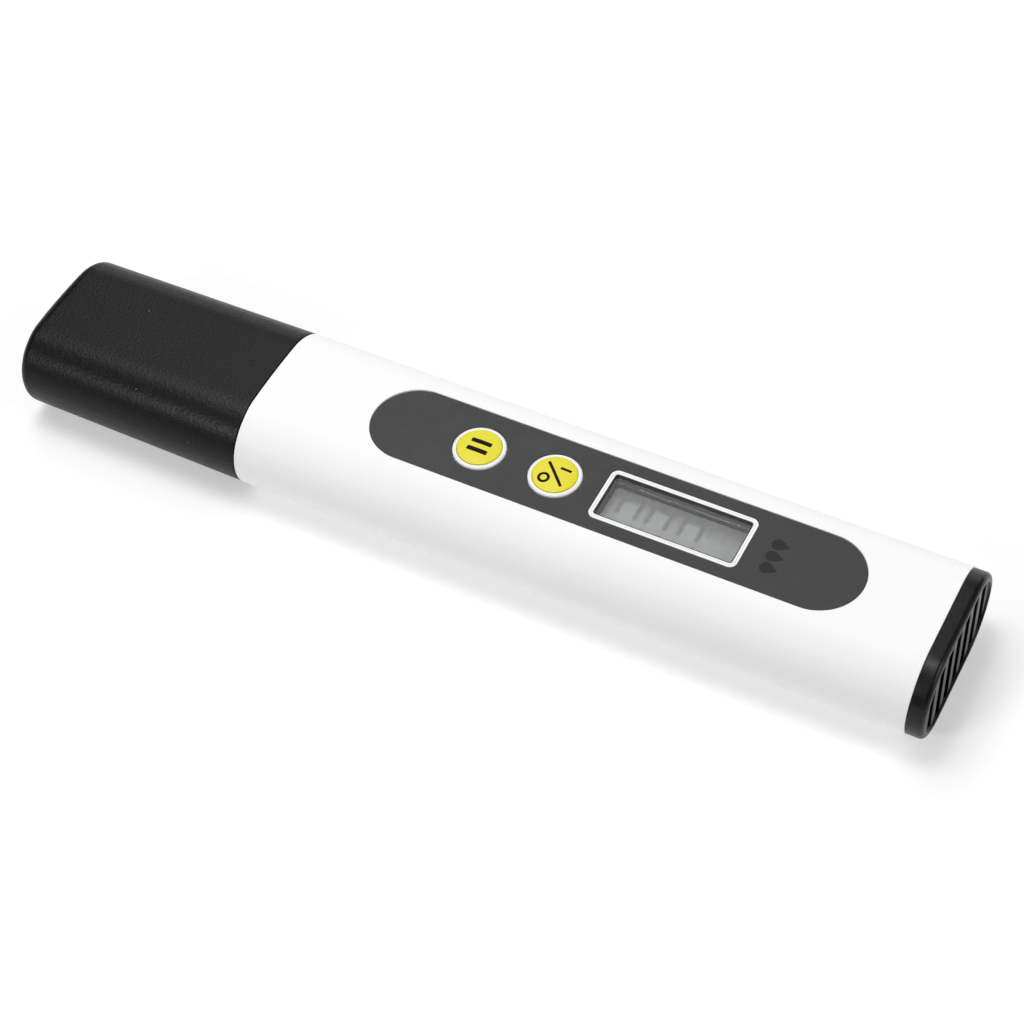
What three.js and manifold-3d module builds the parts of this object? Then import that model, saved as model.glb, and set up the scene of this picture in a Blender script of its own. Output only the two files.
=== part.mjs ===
// Digital water tester, pen type.
// A white one-piece sleeve with a stadium section holds the board, the display and the keys. A probe head closes
// one end and carries the two electrodes under a black pull-off cap. A black end cap with grip slots closes the
// other end and carries the battery tray.
//
// Millimetres. +X runs along the pen from the probe to the battery end, +Z is up through the display,
// and the origin is the centre of the bounding box at its base.

import * as THREE from 'three';
import { mergeVertices } from 'three/addons/utils/BufferGeometryUtils.js';
import Module from 'manifold-3d';

const wasm = await Module();
wasm.setup();

// ---------------------------------------------------------------- driving dimensions
const LENGTH = 151.8;            // overall, cap on
const HALF_W = 13.9;             // half of the sleeve's width
const THICK = 15.6;              // the sleeve's thickness
const R_SIDE = THICK / 2;        // the sides are full rounds
const FLAT = HALF_W - R_SIDE;    // half-width of the flat top and bottom
const Z_MID = THICK / 2;

const X_TIP = -LENGTH / 2;
const X_END = LENGTH / 2;
const X_MOUTH = -35.4;           // the cap's mouth
const X_BODY_0 = -35.25;         // the sleeve's probe end
const X_BODY_1 = 73.25;          // the sleeve's battery end
const WALL = 1.6;                // sleeve wall

const Z_LABEL = 15.42;           // top of the overlay
const LABEL_T = 0.2;
const LABEL_HALF_W = 7.0;
const LABEL_ARC_0 = -10.56;      // centres of the overlay's end arcs
const LABEL_ARC_1 = 54.2;
const RECESS_GAP = 0.06;

const X_KEY_HOLD = 0.18;
const X_KEY_POWER = 12.71;
const KEY_R = 4.05;
const KEY_DISC_R = 3.4;
const KEY_TRAVEL = 0.4;

const X_WINDOW = 31.7;           // centre of the display window
const BEZEL_HX = 11.72;
const BEZEL_HY = 4.77;
const BEZEL_R = 1.25;
const BEZEL_IN_HX = 10.9;
const BEZEL_IN_HY = 3.95;
const LCD_DEPTH = 2.5;           // from the overlay down to the display glass

const CAP_WALL = 1.5;
const CAP_DRAFT = 0.4;           // taper of the cap's outside over its length
const CAP_EDGE_R = 1.6;
const CAP_CROWN = 0.3;           // crown of the cap's end face

const NECK_OFF = 1.8;            // probe head's neck, in from the sleeve's outside
const X_SHOULDER = -48;
const X_NOSE = -62;
const X_WELL = -51;              // front wall of the head, between the guards
const NOSE_HY = 9.2;
const NOSE_HZ = 4.3;
const GUARD_IN = 6.4;            // half of the gap between the guards
const PIN_Y = 3.2;
const PIN_R = 0.9;

const BOARD_Z0 = 8.0;
const BOARD_Z1 = 9.0;
const BOARD_X0 = -28;
const BOARD_X1 = 50;
const BOARD_HY = 11.0;

const CELL_R = 5.8;              // LR44 button cell
const CELL_T = 5.4;
const TRAY_X0 = 51.5;
const TRAY_X1 = 68.4;

const GRILLE_N = 7;
const GRILLE_PITCH = 3.27;
const GRILLE_SLOT = 1.75;
const END_EDGE_R = 1.0;

// ---------------------------------------------------------------- colours
const WHITE = { color: 0xf4f4f4, roughness: 0.42, metalness: 0.0 };
const BLACK = { color: 0x232324, roughness: 0.62, metalness: 0.0 };
const GREY_LABEL = { color: 0x48484a, roughness: 0.5, metalness: 0.0 };
const YELLOW = { color: 0xe9e02e, roughness: 0.4, metalness: 0.0 };
const DARK = { color: 0x3a3b3c, roughness: 0.55, metalness: 0.0 };
const LENS = { color: 0xdfe6e6, roughness: 0.08, metalness: 0.0 };
const LCD = { color: 0x9aa19f, roughness: 0.25, metalness: 0.0 };
const RUBBER = { color: 0x2a2a2b, roughness: 0.8, metalness: 0.0 };
const STEEL = { color: 0xb9bcc0, roughness: 0.25, metalness: 1.0 };
const BRASS = { color: 0xc9a24b, roughness: 0.3, metalness: 1.0 };
const BOARD = { color: 0x1f6b3a, roughness: 0.45, metalness: 0.0 };
const CHIP = { color: 0x17181a, roughness: 0.5, metalness: 0.0 };
const FOIL = { color: 0xd4d7da, roughness: 0.35, metalness: 0.8 };
const CARRIER = { color: 0xdadbdc, roughness: 0.55, metalness: 0.0 };
const LEAD_A = { color: 0xb9281f, roughness: 0.5, metalness: 0.0 };
const LEAD_B = { color: 0x1d1d1f, roughness: 0.5, metalness: 0.0 };

// ---------------------------------------------------------------- solids
function bare(geometry) {
  let g = geometry.clone();
  for (const key of Object.keys(g.attributes)) if (key !== 'position') g.deleteAttribute(key);
  g = mergeVertices(g, 1e-4);
  // drop triangles that the merge folded to a line
  const keep = [];
  for (let i = 0; i < g.index.count; i += 3) {
    const [a, b, c] = [g.index.getX(i), g.index.getX(i + 1), g.index.getX(i + 2)];
    if (a !== b && b !== c && a !== c) keep.push(a, b, c);
  }
  g.setIndex(keep);
  g.computeVertexNormals();
  return g;
}

function solid(geometry) {
  const g = bare(geometry);
  const pos = g.attributes.position;
  return new wasm.Manifold(new wasm.Mesh({
    numProp: 3,
    vertProperties: new Float32Array(pos.array),
    triVerts: new Uint32Array(g.index.array),
  }));
}

function fromSolid(m) {
  const mesh = m.getMesh();
  const g = new THREE.BufferGeometry();
  const n = mesh.numProp;
  const p = new Float32Array((mesh.vertProperties.length / n) * 3);
  for (let i = 0; i < p.length / 3; i++) for (let k = 0; k < 3; k++) p[3 * i + k] = mesh.vertProperties[n * i + k];
  g.setAttribute('position', new THREE.BufferAttribute(p, 3));
  g.setIndex(new THREE.BufferAttribute(new Uint32Array(mesh.triVerts), 1));
  g.computeVertexNormals();
  return g;
}

// An extrusion of a YZ outline along X, from x0 to x1.
function alongX(shape, x0, x1, segments = 10) {
  const g = new THREE.ExtrudeGeometry(shape, { depth: x1 - x0, bevelEnabled: false, curveSegments: segments });
  // shape x -> world Y, shape y -> world Z, extrusion -> world X
  g.applyMatrix4(new THREE.Matrix4().makeBasis(
    new THREE.Vector3(0, 1, 0), new THREE.Vector3(0, 0, 1), new THREE.Vector3(1, 0, 0)));
  g.translate(x0, 0, 0);
  return g;
}

// An extrusion of an XY outline along Z, from z0 to z1.
function alongZ(shape, z0, z1, segments = 10) {
  const g = new THREE.ExtrudeGeometry(shape, { depth: z1 - z0, bevelEnabled: false, curveSegments: segments });
  g.translate(0, 0, z0);
  return g;
}

// An extrusion of an XZ outline along Y, from y0 to y1.
function alongY(points, y0, y1) {
  const s = new THREE.Shape(points.map(([x, z]) => new THREE.Vector2(x, z)));
  const g = new THREE.ExtrudeGeometry(s, { depth: y1 - y0, bevelEnabled: false });
  g.applyMatrix4(new THREE.Matrix4().makeBasis(
    new THREE.Vector3(1, 0, 0), new THREE.Vector3(0, 0, 1), new THREE.Vector3(0, -1, 0)));
  g.translate(0, y1, 0);
  return g;
}

// The sleeve's section, offset inwards.
function section(off) {
  const r = R_SIDE - off;
  const s = new THREE.Shape();
  s.moveTo(FLAT, Z_MID - r);
  s.absarc(FLAT, Z_MID, r, -Math.PI / 2, Math.PI / 2, false);
  s.lineTo(-FLAT, Z_MID + r);
  s.absarc(-FLAT, Z_MID, r, Math.PI / 2, Math.PI * 1.5, false);
  s.closePath();
  return s;
}

function roundRect(cx, cy, hx, hy, r) {
  const s = new THREE.Shape();
  s.moveTo(cx - hx + r, cy - hy);
  s.lineTo(cx + hx - r, cy - hy);
  s.absarc(cx + hx - r, cy - hy + r, r, -Math.PI / 2, 0, false);
  s.lineTo(cx + hx, cy + hy - r);
  s.absarc(cx + hx - r, cy + hy - r, r, 0, Math.PI / 2, false);
  s.lineTo(cx - hx + r, cy + hy);
  s.absarc(cx - hx + r, cy + hy - r, r, Math.PI / 2, Math.PI, false);
  s.lineTo(cx - hx, cy - hy + r);
  s.absarc(cx - hx + r, cy - hy + r, r, Math.PI, Math.PI * 1.5, false);
  s.closePath();
  return s;
}

function stadium(x0, x1, r) {
  const s = new THREE.Shape();
  s.moveTo(x0, -r);
  s.lineTo(x1, -r);
  s.absarc(x1, 0, r, -Math.PI / 2, Math.PI / 2, false);
  s.lineTo(x0, r);
  s.absarc(x0, 0, r, Math.PI / 2, Math.PI * 1.5, false);
  s.closePath();
  return s;
}

function box(x0, x1, y0, y1, z0, z1) {
  const g = new THREE.BoxGeometry(x1 - x0, y1 - y0, z1 - z0);
  g.translate((x0 + x1) / 2, (y0 + y1) / 2, (z0 + z1) / 2);
  return g;
}

// Rings of the sleeve's section at given x and inward offset, joined and closed at both ends.
function loft(rings, n = 10, crown = 0) {
  const pos = [];
  const idx = [];
  const m = 2 * (n + 1);
  for (const [x, off, bulge] of rings) {
    const r = R_SIDE - off;
    for (let s = 0; s < 2; s++) {
      for (let i = 0; i <= n; i++) {
        const a = -Math.PI / 2 + Math.PI * (s + i / n);
        const y = (s ? -FLAT : FLAT) + r * Math.cos(a);
        const z = Z_MID + r * Math.sin(a);
        pos.push(x - (bulge ? crown * (1 - (y / HALF_W) ** 2) : 0), y, z);
      }
    }
  }
  for (let k = 0; k + 1 < rings.length; k++) {
    for (let i = 0; i < m; i++) {
      const j = (i + 1) % m;
      const a = k * m + i, b = k * m + j, c = (k + 1) * m + j, d = (k + 1) * m + i;
      idx.push(a, b, c, a, c, d);
    }
  }
  // end faces: strips between the upper and lower halves of the ring (n is even)
  const face = (base, flip) => {
    const top = [], bot = [];
    for (let i = 0; i < m; i++) {
      const z = pos[3 * (base + i) + 2];
      if (z > Z_MID + 1e-6) top.push(base + i);
      else if (z < Z_MID - 1e-6) bot.push(base + i);
    }
    const byY = (p, q) => pos[3 * q + 1] - pos[3 * p + 1];
    top.sort(byY); bot.sort(byY);
    const mid = [];
    for (let i = 0; i < m; i++) {
      const z = pos[3 * (base + i) + 2];
      if (Math.abs(z - Z_MID) <= 1e-6) mid.push(base + i);
    }
    mid.sort(byY);
    const up = [mid[0], ...top, mid[1]];
    const dn = [mid[0], ...bot, mid[1]];
    for (let i = 0; i + 1 < up.length; i++) {
      const a = up[i], b = up[i + 1], c = dn[i], d = dn[i + 1];
      const tri = (p, q, r2) => { if (p !== q && q !== r2 && p !== r2) idx.push(...(flip ? [p, r2, q] : [p, q, r2])); };
      tri(a, b, d); tri(a, d, c);
    }
  };
  face(0, true);
  face((rings.length - 1) * m, false);
  const g = new THREE.BufferGeometry();
  g.setAttribute('position', new THREE.BufferAttribute(new Float32Array(pos), 3));
  g.setIndex(idx);
  return g;
}

function latheZ(points, x, y, segments = 24) {
  const g = new THREE.LatheGeometry(points.map(([r, z]) => new THREE.Vector2(r, z)), segments);
  g.rotateX(Math.PI / 2);
  g.translate(x, y, 0);
  return g;
}

function cylZ(r, x, y, z0, z1, segments = 24) {
  const g = new THREE.CylinderGeometry(r, r, z1 - z0, segments);
  g.rotateX(Math.PI / 2);
  g.translate(x, y, (z0 + z1) / 2);
  return g;
}

function cylX(r, y, z, x0, x1, segments = 24) {
  const g = new THREE.CylinderGeometry(r, r, x1 - x0, segments);
  g.rotateZ(-Math.PI / 2);
  g.translate((x0 + x1) / 2, y, z);
  return g;
}

const root = new THREE.Group();

function add(name, geometry, look) {
  const mesh = new THREE.Mesh(bare(geometry), new THREE.MeshStandardMaterial(look));
  mesh.name = name;
  root.add(mesh);
  return mesh;
}

// ---------------------------------------------------------------- sleeve
{
  const recess = stadium(LABEL_ARC_0, LABEL_ARC_1, LABEL_HALF_W + RECESS_GAP);
  const body = solid(alongX(section(0), X_BODY_0, X_BODY_1, 16))
    .subtract(solid(alongX(section(WALL), X_BODY_0 - 1, X_BODY_1 + 1, 12)))
    .subtract(solid(alongZ(recess, Z_LABEL - LABEL_T - 0.02, THICK + 1, 16)))
    .subtract(solid(cylZ(KEY_R + 0.2, X_KEY_HOLD, 0, 10, 18, 28)))
    .subtract(solid(cylZ(KEY_R + 0.2, X_KEY_POWER, 0, 10, 18, 28)))
    .subtract(solid(alongZ(roundRect(X_WINDOW, 0, BEZEL_HX + 0.06, BEZEL_HY + 0.06, BEZEL_R), 10, 18, 4)));
  add('main_housing', fromSolid(body), WHITE);
}

// ---------------------------------------------------------------- overlay
{
  const sheet = solid(alongZ(stadium(LABEL_ARC_0, LABEL_ARC_1, LABEL_HALF_W), Z_LABEL - LABEL_T, Z_LABEL, 16))
    .subtract(solid(cylZ(KEY_R + 0.16, X_KEY_HOLD, 0, 14, 17, 28)))
    .subtract(solid(cylZ(KEY_R + 0.16, X_KEY_POWER, 0, 14, 17, 28)))
    .subtract(solid(alongZ(roundRect(X_WINDOW, 0, BEZEL_HX + 0.05, BEZEL_HY + 0.05, BEZEL_R), 14, 17, 4)));
  add('label_overlay', fromSolid(sheet), GREY_LABEL);
}

// ---------------------------------------------------------------- protective cap
{
  const xTipFlat = X_TIP + CAP_CROWN * (1 - (FLAT / HALF_W) ** 2);   // the flat middle of the crown lies at X_TIP
  const xFillet = xTipFlat + CAP_EDGE_R;
  const outer = [];
  for (let i = 0; i <= 4; i++) {
    const a = (Math.PI / 2) * (i / 4);
    outer.push([xTipFlat + CAP_EDGE_R * (1 - Math.sin(a)), CAP_DRAFT + CAP_EDGE_R * (1 - Math.cos(a)), true]);
  }
  outer.reverse();               // from the end face out to the side
  outer.push([X_MOUTH, 0, false]);
  const inner = [
    [xTipFlat + CAP_WALL, CAP_DRAFT + CAP_WALL + 0.8, false],
    [xTipFlat + CAP_WALL + 0.8, CAP_DRAFT + CAP_WALL, false],
    [X_MOUTH + 1, CAP_WALL, false],
  ];
  const cap = solid(loft(outer, 14, CAP_CROWN)).subtract(solid(loft(inner, 12)));
  add('protective_cap', fromSolid(cap), BLACK);
}

// ---------------------------------------------------------------- probe head
{
  const nose = roundRect(0, Z_MID, NOSE_HY, NOSE_HZ, 2.6);
  const head = solid(alongX(section(WALL + 0.06), X_BODY_0 + 0.05, -29, 12))
    .add(solid(alongX(section(NECK_OFF), X_SHOULDER, X_BODY_0 + 0.1, 12)))
    .add(solid(alongX(nose, X_NOSE, X_SHOULDER + 0.5, 5)))
    .subtract(solid(box(X_NOSE - 1, X_WELL, -GUARD_IN, GUARD_IN, -1, THICK + 1)))
    .subtract(solid(alongX(section(3.4), -39, -28, 10)))
    .subtract(solid(cylX(PIN_R + 0.12, PIN_Y, Z_MID, -53, -38, 20)))
    .subtract(solid(cylX(PIN_R + 0.12, -PIN_Y, Z_MID, -53, -38, 20)))
    .subtract(solid(cylX(0.95, 0, Z_MID, -53, -47.6, 16)))
    // groove for the seal ring
    .subtract(solid(alongX(section(0), -44.2, -42.6, 12)).subtract(solid(alongX(section(2.85), -45, -42, 12))));
  add('probe_head', fromSolid(head), CARRIER);
}
{
  const ring = solid(alongX(section(1.72), -44.05, -42.75, 12)).subtract(solid(alongX(section(2.75), -45, -42, 12)));
  add('head_seal_ring', fromSolid(ring), RUBBER);
}
for (const [name, y] of [['probe_pin_near', -PIN_Y], ['probe_pin_far', PIN_Y]]) {
  // a rod with a rounded tip
  const pts = [[0, 0], [0.45, 0.07], [0.75, 0.3], [PIN_R, 0.8], [PIN_R, 24.2], [0, 24.2]];
  const g = new THREE.LatheGeometry(pts.map(([r, h]) => new THREE.Vector2(r, h)), 16);
  g.rotateZ(-Math.PI / 2);
  g.translate(-61, y, Z_MID);
  add(name, g, STEEL);
}
{
  const pts = [[0, 0], [0.4, 0.1], [0.7, 0.35], [0.8, 0.8], [0.8, 4.4], [0, 4.4]];
  const g = new THREE.LatheGeometry(pts.map(([r, h]) => new THREE.Vector2(r, h)), 14);
  g.rotateZ(-Math.PI / 2);
  g.translate(-52.2, 0, Z_MID);
  add('thermistor_bead', g, CHIP);
}

// ---------------------------------------------------------------- leads from the pins to the board
for (const [name, s, look] of [['probe_lead_near', -1, LEAD_B], ['probe_lead_far', 1, LEAD_A]]) {
  const path = new THREE.CatmullRomCurve3([
    new THREE.Vector3(-36.4, s * PIN_Y, Z_MID),
    new THREE.Vector3(-33.6, s * 3.5, Z_MID + 0.1),
    new THREE.Vector3(-30.6, s * 4.2, 9.4),
    new THREE.Vector3(-28.2, s * 4.4, 10.9),
    new THREE.Vector3(-26.3, s * 4.2, 10.8),
    new THREE.Vector3(-25.6, s * 4.2, 9.4),
  ]);
  const c = new THREE.Shape();
  c.absarc(0, 0, 0.55, 0, Math.PI * 2, false);
  add(name, new THREE.ExtrudeGeometry(c, { steps: 18, bevelEnabled: false, extrudePath: path, curveSegments: 4 }), look);
}

// ---------------------------------------------------------------- keys
for (const [name, x] of [['hold', X_KEY_HOLD], ['power', X_KEY_POWER]]) {
  const z0 = 13.3;
  add(`${name}_keycap`, latheZ([
    [0, z0], [4.9, z0], [4.9, z0 + 0.5], [KEY_R, z0 + 0.5],
    [KEY_R, Z_LABEL + 0.02], [KEY_R - 0.1, Z_LABEL + 0.22], [KEY_R - 0.32, Z_LABEL + 0.32],
    [KEY_DISC_R + 0.03, Z_LABEL + 0.26], [KEY_DISC_R + 0.03, Z_LABEL - 0.3], [0, Z_LABEL - 0.3],
  ], x, 0, 28), WHITE);
  add(`${name}_key_disc`, latheZ([
    [0, Z_LABEL - 0.28], [KEY_DISC_R, Z_LABEL - 0.28], [KEY_DISC_R, Z_LABEL + 0.32], [KEY_DISC_R - 0.15, Z_LABEL + 0.42],
    [KEY_DISC_R * 0.6, Z_LABEL + 0.54], [0, Z_LABEL + 0.6],
  ], x, 0, 28), YELLOW);
  // switch under the key
  const body = solid(box(x - 3, x + 3, -3, 3, BOARD_Z1 + 0.02, 12.3)).subtract(solid(cylZ(2.0, x, 0, 10.5, 13, 24)));
  add(`tact_body_${name}`, fromSolid(body), CHIP);
  add(`tact_stem_${name}`, latheZ([[0, 11.2], [1.75, 11.2], [1.75, z0 - 0.03], [0, z0 - 0.03]], x, 0, 24), YELLOW);
}

// ---------------------------------------------------------------- display
{
  const lip = roundRect(X_WINDOW, 0, BEZEL_IN_HX, BEZEL_IN_HY, 0.55);
  const wallIn = roundRect(X_WINDOW, 0, BEZEL_HX - 0.36, BEZEL_HY - 0.36, 0.95);
  const frame = solid(alongZ(roundRect(X_WINDOW, 0, BEZEL_HX, BEZEL_HY, BEZEL_R), 13.3, Z_LABEL + 0.08, 5))
    .add(solid(alongZ(roundRect(X_WINDOW, 0, BEZEL_HX + 0.9, BEZEL_HY + 0.9, 1.8), 13.2, 13.9, 5)))
    .subtract(solid(alongZ(lip, 10, 18, 4)))
    .subtract(solid(alongZ(wallIn, 10, Z_LABEL - 0.24, 4)));
  add('display_bezel', fromSolid(frame), WHITE);

  const holder = solid(alongZ(roundRect(X_WINDOW, 0, 12.9, 5.9, 0.5), BOARD_Z1 + 0.05, 13.15, 3))
    .add(solid(alongZ(roundRect(X_WINDOW, 0, 11.3, 4.35, 0.8), 13.05, Z_LABEL - 0.28, 4)))
    .subtract(solid(box(X_WINDOW - 12.35, X_WINDOW + 12.35, -5.35, 5.35, 5, 12.97)))
    .subtract(solid(box(X_WINDOW - 10.75, X_WINDOW + 10.75, -3.8, 3.8, 12, 18)))
    .subtract(solid(box(X_WINDOW - 10.9, X_WINDOW + 10.9, -3.95, 3.95, 13.95, 18)));
  add('lcd_holder', fromSolid(holder), DARK);

  add('window_lens', alongZ(roundRect(X_WINDOW, 0, 10.85, 3.9, 0.5), 13.98, Z_LABEL - 0.3, 4), LENS);

  const zTop = Z_LABEL - LCD_DEPTH;
  add('lcd_panel', box(X_WINDOW - 12.25, X_WINDOW + 12.25, -5.25, 5.25, zTop - 1.75, zTop), LCD);
  add('lcd_reflector', box(X_WINDOW - 12.1, X_WINDOW + 12.1, -3.6, 3.6, zTop - 1.98, zTop - 1.79), FOIL);
  for (const [name, y] of [['zebra_strip_near', -4.5], ['zebra_strip_far', 4.5]]) {
    add(name, box(X_WINDOW - 11.5, X_WINDOW + 11.5, y - 0.6, y + 0.6, BOARD_Z1 + 0.03, zTop - 1.79), RUBBER);
  }
}

// ---------------------------------------------------------------- board and carrier
{
  const rear = 47.5;
  const front = -22;
  const board = solid(box(BOARD_X0, BOARD_X1, -BOARD_HY, BOARD_HY, BOARD_Z0, BOARD_Z1))
    .subtract(solid(cylZ(1.2, front, 0, 7, 10, 16)))
    .subtract(solid(cylZ(1.2, rear, 0, 7, 10, 16)));
  add('circuit_board', fromSolid(board), BOARD);

  let carrier = solid(box(-27.5, 49.5, -8, 8, 2.1, 3.3))
    .add(solid(box(-27.5, 49.5, 6.4, 7.6, 3, BOARD_Z0 - 0.03)))
    .add(solid(box(-27.5, 49.5, -7.6, -6.4, 3, BOARD_Z0 - 0.03)));
  for (const x of [front, rear]) carrier = carrier.add(solid(cylZ(1.95, x, 0, 3, BOARD_Z0 - 0.03, 20)));
  for (const x of [front, rear]) carrier = carrier.subtract(solid(cylZ(1.05, x, 0, 3.6, 9, 16)));
  add('board_carrier', fromSolid(carrier), CARRIER);

  for (const [name, x] of [['board_screw_front', front], ['board_screw_rear', rear]]) {
    const screw = solid(latheZ([
      [0, 4.2], [0.5, 4.5], [0.95, 5.2], [0.95, BOARD_Z1 + 0.03], [1.85, BOARD_Z1 + 0.03], [1.85, 9.7], [1.4, 10.25], [0, 10.35],
    ], x, 0, 18))
      .subtract(solid(box(x - 1.1, x + 1.1, -0.2, 0.2, 9.8, 11)))
      .subtract(solid(box(x - 0.2, x + 0.2, -1.1, 1.1, 9.8, 11)));
    add(name, fromSolid(screw), STEEL);
  }

  // epoxy dome over the controller
  add('controller_chip', latheZ([[0, BOARD_Z1 + 0.03], [4.4, BOARD_Z1 + 0.03], [4.1, 9.5], [3.3, 10.0], [1.9, 10.4], [0, 10.5]],
    -10.5, 3.6, 24), CHIP);

  // eight-leg amplifier
  let amp = solid(box(-18.2, -13.2, -7.4, -3.4, 9.35, 10.8));
  for (let i = 0; i < 4; i++) {
    const x = -17.6 + i * 1.27;
    for (const s of [-1, 1]) {
      const y = -5.4 + s * 2.0;
      const y2 = -5.4 + s * 3.0;
      amp = amp.add(solid(box(x - 0.2, x + 0.2, Math.min(y - s * 0.3, y2), Math.max(y - s * 0.3, y2), 9.85, 10.05)))
        .add(solid(box(x - 0.2, x + 0.2, Math.min(y2 - s * 0.2, y2), Math.max(y2 - s * 0.2, y2), 9.03, 10.05)));
    }
  }
  add('amplifier_chip', fromSolid(amp), CHIP);

  // crystal lying on the board, and an upright capacitor
  {
    const g = new THREE.LatheGeometry([[0, -3.2], [1.35, -3.2], [1.5, -3.0], [1.5, 2.9], [1.3, 3.2], [0, 3.2]]
      .map(([r, h]) => new THREE.Vector2(r, h)), 18);
    g.translate(6.45, 5.5, BOARD_Z1 + 1.55);
    add('crystal_can', g, STEEL);
  }
  add('filter_capacitor', latheZ([[0, BOARD_Z1 + 0.03], [2.0, BOARD_Z1 + 0.03], [2.0, 12.6], [1.75, 12.9], [0, 12.9]], -17.5, 5.6, 24), DARK);
}

// ---------------------------------------------------------------- battery drawer
{
  const zFace = X_END - 0.3;               // the ribs sit a little behind the rim
  const rings = [];
  rings.push([X_BODY_1 + 0.05, 0.1, false]);
  for (let i = 0; i <= 3; i++) {
    const a = (Math.PI / 2) * (i / 3);
    rings.push([X_END - END_EDGE_R * (1 - Math.sin(a)), 0.1 + END_EDGE_R * (1 - Math.cos(a)), false]);
  }
  // loft wants increasing faces from the end face inwards, so list from the outside in
  rings.reverse();
  const flipped = rings.map(([x, off]) => [-x, off, false]);
  const shellGeo = loft(flipped, 14);
  shellGeo.rotateZ(Math.PI);
  let end = solid(shellGeo)
    .add(solid(alongX(section(WALL + 0.1), TRAY_X1 + 0.05, X_BODY_1 + 0.1, 12)))
    .subtract(solid(alongX(section(1.35), zFace, X_END + 1, 12)));
  const slotZone = solid(alongX(section(1.45), X_END - 1.7, X_END + 1, 12));
  for (let i = 0; i < GRILLE_N; i++) {
    const y = (i - (GRILLE_N - 1) / 2) * GRILLE_PITCH;
    end = end.subtract(slotZone.intersect(solid(box(X_END - 3, X_END + 2, y - GRILLE_SLOT / 2, y + GRILLE_SLOT / 2, -1, THICK + 1))));
  }
  // groove for the seal ring round the plug
  end = end.subtract(solid(alongX(section(0), 70.0, 71.4, 12)).subtract(solid(alongX(section(2.5), 69, 72, 12))));
  add('end_cap', fromSolid(end), BLACK);

  const ring = solid(alongX(section(WALL + 0.04), 70.1, 71.3, 12)).subtract(solid(alongX(section(2.44), 69, 72, 12)));
  add('end_cap_seal', fromSolid(ring), RUBBER);

  const xBore = 65.4;
  const bore = solid(cylX(CELL_R + 0.2, 0, Z_MID, TRAY_X0 + 1.5, xBore, 32));
  const tray = solid(box(TRAY_X0, TRAY_X1, -8, 8, 2.6, 9.6))
    .subtract(bore)
    .subtract(solid(box(TRAY_X0 - 1, xBore, 7.1, 9, 7.2, 8.6)))     // channel for the side strip
    .subtract(solid(box(xBore - 0.6, xBore, 5, 9, 7.2, 8.6)));
  add('battery_tray', fromSolid(tray), CARRIER);

  const x1 = TRAY_X0 + 2.4;
  for (const [name, x0] of [['button_cell_inner', x1], ['button_cell_outer', x1 + CELL_T + 0.1]]) {
    // the can, with the smaller face towards the probe end
    const pts = [[0, 0], [4.6, 0], [4.75, 0.15], [4.75, 0.5], [5.5, 0.55], [CELL_R, 0.85], [CELL_R, CELL_T - 0.25], [5.55, CELL_T], [0, CELL_T]];
    const g = new THREE.LatheGeometry(pts.map(([r, h]) => new THREE.Vector2(r, h)), 24);
    g.rotateZ(-Math.PI / 2);
    g.translate(x0, 0, Z_MID);
    add(name, g, STEEL);
  }
  const xPlate = x1 + 2 * CELL_T + 0.3;
  // outer plate with its strip along the tray's far side
  const plate = solid(box(xPlate, xPlate + 0.3, -3.5, 3.5, 3.2, 11.5))
    .add(solid(box(xPlate, xPlate + 0.3, 3, 7.6, 7.5, 8.3)))
    .add(solid(box(TRAY_X0 - 0.35, xPlate + 0.3, 7.3, 7.6, 7.5, 8.3)))
    .add(solid(box(TRAY_X0 - 0.35, TRAY_X0 - 0.1, 4.2, 7.6, 7.5, 8.3)));
  add('tray_contact_outer', fromSolid(plate), BRASS);
  // inner contact: a strip over the tray's end wall, a bowed tongue behind it and a tab across the wall's outside
  const tongue = solid(alongY([
    [TRAY_X0 - 0.3, 9.7], [TRAY_X0 + 1.6, 9.7], [TRAY_X0 + 1.75, 9.0], [TRAY_X0 + 2.2, 7.8], [TRAY_X0 + 1.75, 6.4],
    [TRAY_X0 + 1.95, 6.4], [TRAY_X0 + 2.38, 7.8], [TRAY_X0 + 1.95, 9.1], [TRAY_X0 + 1.8, 9.95], [TRAY_X0 - 0.55, 9.95],
    [TRAY_X0 - 0.55, 8.4], [TRAY_X0 - 0.3, 8.4],
  ], -2.0, 2.0)).add(solid(box(TRAY_X0 - 0.55, TRAY_X0 - 0.3, -7.2, 0, 7.5, 9.2)));
  add('tray_contact_inner', fromSolid(tongue), BRASS);

  // spring fingers on the end of the board
  for (const [name, y0, y1] of [['board_finger_near', -7.0, -4.4], ['board_finger_far', 4.4, 7.0]]) {
    add(name, alongY([
      [45.6, BOARD_Z1 + 0.03], [49.6, BOARD_Z1 + 0.03], [50.4, 9.2], [50.62, 8.6], [50.35, 7.4],
      [50.55, 7.4], [50.85, 8.6], [50.6, 9.4], [49.7, BOARD_Z1 + 0.25], [45.6, BOARD_Z1 + 0.25],
    ], y0, y1), BRASS);
  }
}

export default root;
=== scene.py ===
import math

import bmesh
import bpy
import numpy as np
from mathutils import Matrix, Vector
from mathutils.geometry import tessellate_polygon


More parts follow.
